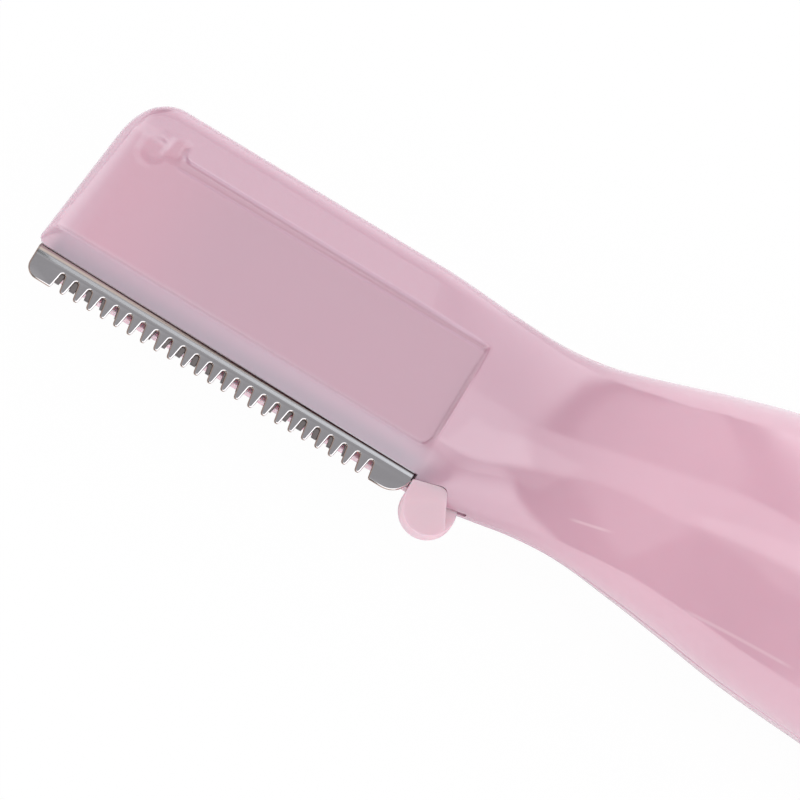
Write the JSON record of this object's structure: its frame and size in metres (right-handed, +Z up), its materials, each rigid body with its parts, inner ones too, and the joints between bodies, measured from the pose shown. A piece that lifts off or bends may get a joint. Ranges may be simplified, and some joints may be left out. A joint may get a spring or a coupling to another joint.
{
  "type": "electric eyebrow trimmer",
  "caption": "Slim battery trimmer with a flat head, a fixed steel comb, a moving cutter on a swing-out arm, a slide switch and a push-on battery cap.",
  "frame": {"origin": "middle of the narrow flat under the handle, on which the trimmer lies on its back", "axes": "+X from the head's tip towards the battery cap, +Y towards the head's back edge and away from the comb's teeth, +Z up out of the face with the comb and the switch"},
  "size_m": [0.1373, 0.0209, 0.0179],
  "materials": {
    "body_plastic": "glossy pink plastic",
    "arm_plastic": "light pink plastic, satin",
    "comb_steel": "polished stainless steel",
    "cutter_steel": "ground steel",
    "spring_steel": "nickel-plated steel",
    "motor_steel": "plated steel can",
    "screw_steel": "zinc-plated steel",
    "drive_plastic": "natural acetal",
    "black_plastic": "black nylon",
    "knob_plastic": "off-white plastic",
    "contact_brass": "spring brass",
    "cell_jacket": "plain printed film over a steel can",
    "red_insulation": "red wire insulation",
    "black_insulation": "black wire insulation"
  },
  "bodies": {
    "housing": {"front_shell": "body_plastic", "back_shell": "body_plastic", "arm_pivot_pin": "body_plastic", "comb_blade": "comb_steel", "comb_rivet_1": "spring_steel", "comb_rivet_2": "spring_steel", "lever_pivot_pin": "spring_steel", "motor_can": "motor_steel", "motor_end_cap": "black_plastic", "motor_terminal_1": "contact_brass", "motor_terminal_2": "contact_brass", "motor_strip": "contact_brass", "positive_strip": "contact_brass", "negative_strip": "spring_steel", "switch_board": "black_plastic", "battery_cell": "cell_jacket", "red_lead": "red_insulation", "black_lead": "black_insulation", "case_screw_1": "screw_steel", "case_screw_2": "screw_steel"},
    "swing_arm": {"cutter_arm": "arm_plastic", "pressure_spring": "spring_steel"},
    "cutter": {"moving_cutter": "cutter_steel"},
    "lever": {"drive_lever": "drive_plastic"},
    "rotor": {"motor_shaft": "spring_steel", "eccentric_cam": "drive_plastic"},
    "switch": {"switch_knob": "knob_plastic", "switch_slider": "black_plastic", "switch_bridge": "contact_brass"},
    "cap": {"battery_cap": "body_plastic", "battery_spring": "spring_steel", "cap_contact": "spring_steel"}
  },
  "joints": [
    {"name": "arm_swing", "type": "hinge", "parent": "housing", "child": "swing_arm", "pos_m": [-0.072, 0.0009, 0.0082], "axis": [0, 0, -1], "range_deg": [0, 45]},
    {"name": "cutter_slide", "type": "slide", "parent": "swing_arm", "child": "cutter", "axis": [1, 0, 0], "range_m": [-0.00039, 0.00039]},
    {"name": "lever_swing", "type": "hinge", "parent": "housing", "child": "lever", "pos_m": [-0.0448, -0.0012, 0.0082], "axis": [0, 0, 1], "range_deg": [-4.25, 4.25]},
    {"name": "motor_spin", "type": "hinge", "parent": "housing", "child": "rotor", "pos_m": [-0.0274, -0.0012, 0.0082], "axis": [1, 0, 0], "continuous": true},
    {"name": "switch_slide", "type": "slide", "parent": "housing", "child": "switch", "axis": [-1, 0, 0], "range_m": [0, 0.0035]},
    {"name": "cap_pull", "type": "slide", "parent": "housing", "child": "cap", "axis": [1, 0, 0], "range_m": [0, 0.03]}
  ],
  "couplings": [
    {"joint": "lever_swing", "follows": "cutter_slide", "rad_per_m": 188.68}
  ]
}
